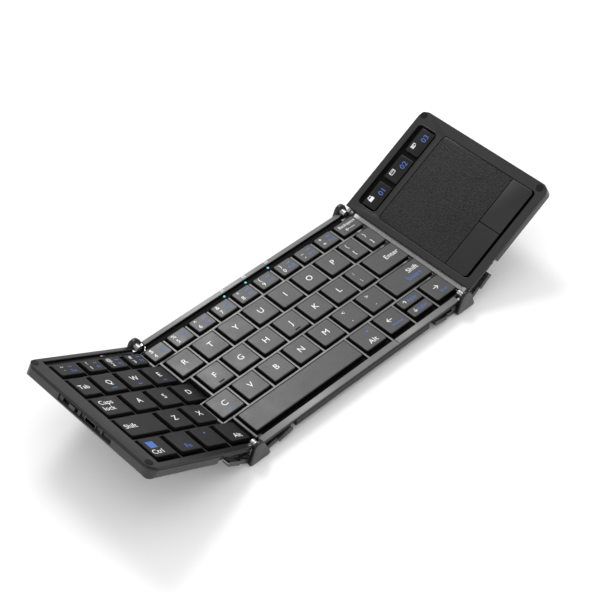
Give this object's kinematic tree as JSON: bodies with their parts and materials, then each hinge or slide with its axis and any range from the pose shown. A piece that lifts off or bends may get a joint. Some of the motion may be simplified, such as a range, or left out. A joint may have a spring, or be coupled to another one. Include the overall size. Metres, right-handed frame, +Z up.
{
  "type": "folding keyboard",
  "caption": "Tri-fold pocket keyboard: a key-covered centre panel, a key wing and a touch-pad wing that fold over it on two spine hinges.",
  "frame": {"origin": "on the ground under the middle of the keyboard, midway between the two hinge axes", "axes": "+X to the typist's right along the rows, +Y away from the typist, +Z up from the ground; both wings raised 30 degrees at rest"},
  "size_m": [0.2728, 0.0934, 0.0444],
  "materials": {
    "charcoal": "satin, fine texture",
    "grey": "satin, fine texture",
    "shell_grey": "satin paint",
    "shell_dark": "satin paint",
    "cap_grey": "satin caps with white legends",
    "cap_dark": "satin caps with white legends",
    "black": "matt",
    "rubber": "matt",
    "dome": "translucent silicone",
    "steel": "brushed",
    "pin_steel": "polished",
    "hinge_metal": "satin paint",
    "pad": "smooth satin",
    "light": "clear, cyan",
    "cell": "foil pouch",
    "board": "solder mask"
  },
  "bodies": {
    "centre": {"centre_base": "shell_grey", "centre_frame": "grey", "centre_key_plate": "steel", "centre_membrane": "dome", "centre_feet": "rubber", "centre_screws": "steel", "status_lights": "light", "hinge_pins": "pin_steel", "centre_leaves": "steel"},
    "spine_left": {"spine_left": "hinge_metal"},
    "spine_right": {"spine_right": "hinge_metal"},
    "link_left_inner": {"link_left_inner": "hinge_metal"},
    "link_left_outer": {"link_left_outer": "hinge_metal"},
    "link_right_inner": {"link_right_inner": "hinge_metal"},
    "link_right_outer": {"link_right_outer": "hinge_metal"},
    "wing_left": {"left_base": "shell_dark", "left_frame": "charcoal", "left_membrane": "dome", "left_leaves": "steel", "left_pads": "rubber", "left_screws": "steel", "charge_port": "steel"},
    "wing_right": {"right_base": "shell_dark", "right_frame": "charcoal", "main_board": "board", "right_leaves": "steel", "right_pads": "rubber", "right_screws": "steel", "battery": "cell", "touch_pad": "pad"},
    "power_switch": {"power_switch": "black"},
    "keys_number": {"keys_number": "cap_grey"},
    "key_backspace": {"key_backspace": "cap_grey"},
    "keys_upper": {"keys_upper": "cap_grey"},
    "keys_home": {"keys_home": "cap_grey"},
    "key_enter": {"key_enter": "cap_grey"},
    "keys_lower": {"keys_lower": "cap_grey"},
    "key_shift_right": {"key_shift_right": "cap_grey"},
    "key_space": {"key_space": "cap_grey"},
    "key_alt_right": {"key_alt_right": "cap_grey"},
    "key_arrow_left": {"key_arrow_left": "cap_grey"},
    "key_arrow_up": {"key_arrow_up": "cap_grey"},
    "key_arrow_down": {"key_arrow_down": "cap_grey"},
    "key_arrow_right": {"key_arrow_right": "cap_grey"},
    "keys_number_left": {"keys_number_left": "cap_dark"},
    "key_tab": {"key_tab": "cap_dark"},
    "keys_upper_left": {"keys_upper_left": "cap_dark"},
    "key_caps": {"key_caps": "cap_dark"},
    "keys_home_left": {"keys_home_left": "cap_dark"},
    "key_shift_left": {"key_shift_left": "cap_dark"},
    "keys_lower_left": {"keys_lower_left": "cap_dark"},
    "key_ctrl": {"key_ctrl": "cap_dark"},
    "key_fn": {"key_fn": "cap_dark"},
    "key_meta": {"key_meta": "cap_dark"},
    "key_alt_left": {"key_alt_left": "cap_dark"},
    "click_left": {"click_left": "pad"},
    "click_right": {"click_right": "pad"},
    "device_1": {"device_1": "cap_dark"},
    "device_2": {"device_2": "cap_dark"},
    "device_3": {"device_3": "cap_dark"}
  },
  "joints": [
    {"name": "spine_left_fold", "type": "hinge", "parent": "centre", "child": "spine_left", "pos_m": [-0.07175, 0, 0.00875], "axis": [0, 1, 0], "range_deg": [0, 90]},
    {"name": "wing_left_fold", "type": "hinge", "parent": "spine_left", "child": "wing_left", "pos_m": [-0.07175, 0, 0.00875], "axis": [0, 1, 0], "range_deg": [-30, 60]},
    {"name": "spine_right_fold", "type": "hinge", "parent": "centre", "child": "spine_right", "pos_m": [0.07175, 0, 0.00875], "axis": [0, -1, 0], "range_deg": [0, 90]},
    {"name": "wing_right_fold", "type": "hinge", "parent": "spine_right", "child": "wing_right", "pos_m": [0.07175, 0, 0.00875], "axis": [0, -1, 0], "range_deg": [-30, 60]},
    {"name": "link_left_inner_swing", "type": "hinge", "parent": "spine_left", "child": "link_left_inner", "pos_m": [-0.06705, 0, 0.00175], "axis": [0, 1, 0], "range_deg": [-82, 1]},
    {"name": "link_left_outer_swing", "type": "hinge", "parent": "spine_left", "child": "link_left_outer", "pos_m": [-0.07645, 0, 0.00175], "axis": [0, 1, 0], "range_deg": [-28, 55]},
    {"name": "link_right_inner_swing", "type": "hinge", "parent": "spine_right", "child": "link_right_inner", "pos_m": [0.06705, 0, 0.00175], "axis": [0, -1, 0], "range_deg": [-82, 1]},
    {"name": "link_right_outer_swing", "type": "hinge", "parent": "spine_right", "child": "link_right_outer", "pos_m": [0.07645, 0, 0.00175], "axis": [0, -1, 0], "range_deg": [-28, 55]},
    {"name": "keys_number_press", "type": "slide", "parent": "centre", "child": "keys_number", "axis": [0, 0, -1], "range_m": [0, 0.0012], "stiffness_N_per_m": 600, "springref_m": -0.0003},
    {"name": "key_backspace_press", "type": "slide", "parent": "centre", "child": "key_backspace", "axis": [0, 0, -1], "range_m": [0, 0.0012], "stiffness_N_per_m": 600, "springref_m": -0.0003},
    {"name": "keys_upper_press", "type": "slide", "parent": "centre", "child": "keys_upper", "axis": [0, 0, -1], "range_m": [0, 0.0012], "stiffness_N_per_m": 600, "springref_m": -0.0003},
    {"name": "keys_home_press", "type": "slide", "parent": "centre", "child": "keys_home", "axis": [0, 0, -1], "range_m": [0, 0.0012], "stiffness_N_per_m": 600, "springref_m": -0.0003},
    {"name": "key_enter_press", "type": "slide", "parent": "centre", "child": "key_enter", "axis": [0, 0, -1], "range_m": [0, 0.0012], "stiffness_N_per_m": 600, "springref_m": -0.0003},
    {"name": "keys_lower_press", "type": "slide", "parent": "centre", "child": "keys_lower", "axis": [0, 0, -1], "range_m": [0, 0.0012], "stiffness_N_per_m": 600, "springref_m": -0.0003},
    {"name": "key_shift_right_press", "type": "slide", "parent": "centre", "child": "key_shift_right", "axis": [0, 0, -1], "range_m": [0, 0.0012], "stiffness_N_per_m": 600, "springref_m": -0.0003},
    {"name": "key_space_press", "type": "slide", "parent": "centre", "child": "key_space", "axis": [0, 0, -1], "range_m": [0, 0.0012], "stiffness_N_per_m": 600, "springref_m": -0.0003},
    {"name": "key_alt_right_press", "type": "slide", "parent": "centre", "child": "key_alt_right", "axis": [0, 0, -1], "range_m": [0, 0.0012], "stiffness_N_per_m": 600, "springref_m": -0.0003},
    {"name": "key_arrow_left_press", "type": "slide", "parent": "centre", "child": "key_arrow_left", "axis": [0, 0, -1], "range_m": [0, 0.0012], "stiffness_N_per_m": 600, "springref_m": -0.0003},
    {"name": "key_arrow_up_press", "type": "slide", "parent": "centre", "child": "key_arrow_up", "axis": [0, 0, -1], "range_m": [0, 0.0012], "stiffness_N_per_m": 600, "springref_m": -0.0003},
    {"name": "key_arrow_down_press", "type": "slide", "parent": "centre", "child": "key_arrow_down", "axis": [0, 0, -1], "range_m": [0, 0.0012], "stiffness_N_per_m": 600, "springref_m": -0.0003},
    {"name": "key_arrow_right_press", "type": "slide", "parent": "centre", "child": "key_arrow_right", "axis": [0, 0, -1], "range_m": [0, 0.0012], "stiffness_N_per_m": 600, "springref_m": -0.0003},
    {"name": "keys_number_left_press", "type": "slide", "parent": "wing_left", "child": "keys_number_left", "axis": [-0.5, 0, -0.866], "range_m": [0, 0.0012], "stiffness_N_per_m": 600, "springref_m": -0.0003},
    {"name": "key_tab_press", "type": "slide", "parent": "wing_left", "child": "key_tab", "axis": [-0.5, 0, -0.866], "range_m": [0, 0.0012], "stiffness_N_per_m": 600, "springref_m": -0.0003},
    {"name": "keys_upper_left_press", "type": "slide", "parent": "wing_left", "child": "keys_upper_left", "axis": [-0.5, 0, -0.866], "range_m": [0, 0.0012], "stiffness_N_per_m": 600, "springref_m": -0.0003},
    {"name": "key_caps_press", "type": "slide", "parent": "wing_left", "child": "key_caps", "axis": [-0.5, 0, -0.866], "range_m": [0, 0.0012], "stiffness_N_per_m": 600, "springref_m": -0.0003},
    {"name": "keys_home_left_press", "type": "slide", "parent": "wing_left", "child": "keys_home_left", "axis": [-0.5, 0, -0.866], "range_m": [0, 0.0012], "stiffness_N_per_m": 600, "springref_m": -0.0003},
    {"name": "key_shift_left_press", "type": "slide", "parent": "wing_left", "child": "key_shift_left", "axis": [-0.5, 0, -0.866], "range_m": [0, 0.0012], "stiffness_N_per_m": 600, "springref_m": -0.0003},
    {"name": "keys_lower_left_press", "type": "slide", "parent": "wing_left", "child": "keys_lower_left", "axis": [-0.5, 0, -0.866], "range_m": [0, 0.0012], "stiffness_N_per_m": 600, "springref_m": -0.0003},
    {"name": "key_ctrl_press", "type": "slide", "parent": "wing_left", "child": "key_ctrl", "axis": [-0.5, 0, -0.866], "range_m": [0, 0.0012], "stiffness_N_per_m": 600, "springref_m": -0.0003},
    {"name": "key_fn_press", "type": "slide", "parent": "wing_left", "child": "key_fn", "axis": [-0.5, 0, -0.866], "range_m": [0, 0.0012], "stiffness_N_per_m": 600, "springref_m": -0.0003},
    {"name": "key_meta_press", "type": "slide", "parent": "wing_left", "child": "key_meta", "axis": [-0.5, 0, -0.866], "range_m": [0, 0.0012], "stiffness_N_per_m": 600, "springref_m": -0.0003},
    {"name": "key_alt_left_press", "type": "slide", "parent": "wing_left", "child": "key_alt_left", "axis": [-0.5, 0, -0.866], "range_m": [0, 0.0012], "stiffness_N_per_m": 600, "springref_m": -0.0003},
    {"name": "click_left_press", "type": "slide", "parent": "wing_right", "child": "click_left", "axis": [0.5, 0, -0.866], "range_m": [0, 0.0005], "stiffness_N_per_m": 1500, "springref_m": -0.0002},
    {"name": "click_right_press", "type": "slide", "parent": "wing_right", "child": "click_right", "axis": [0.5, 0, -0.866], "range_m": [0, 0.0005], "stiffness_N_per_m": 1500, "springref_m": -0.0002},
    {"name": "device_1_press", "type": "slide", "parent": "wing_right", "child": "device_1", "axis": [0.5, 0, -0.866], "range_m": [0, 0.0005], "stiffness_N_per_m": 1500, "springref_m": -0.0002},
    {"name": "device_2_press", "type": "slide", "parent": "wing_right", "child": "device_2", "axis": [0.5, 0, -0.866], "range_m": [0, 0.0005], "stiffness_N_per_m": 1500, "springref_m": -0.0002},
    {"name": "device_3_press", "type": "slide", "parent": "wing_right", "child": "device_3", "axis": [0.5, 0, -0.866], "range_m": [0, 0.0005], "stiffness_N_per_m": 1500, "springref_m": -0.0002},
    {"name": "power_switch_slide", "type": "slide", "parent": "wing_left", "child": "power_switch", "axis": [0, 1, 0], "range_m": [0, 0.003]}
  ],
  "couplings": [
    {"joint": "link_left_inner_swing", "follows": "spine_left_fold", "ratio": -0.9},
    {"joint": "link_left_outer_swing", "follows": "wing_left_fold", "ratio": 0.9},
    {"joint": "link_right_inner_swing", "follows": "spine_right_fold", "ratio": -0.9},
    {"joint": "link_right_outer_swing", "follows": "wing_right_fold", "ratio": 0.9}
  ]
}
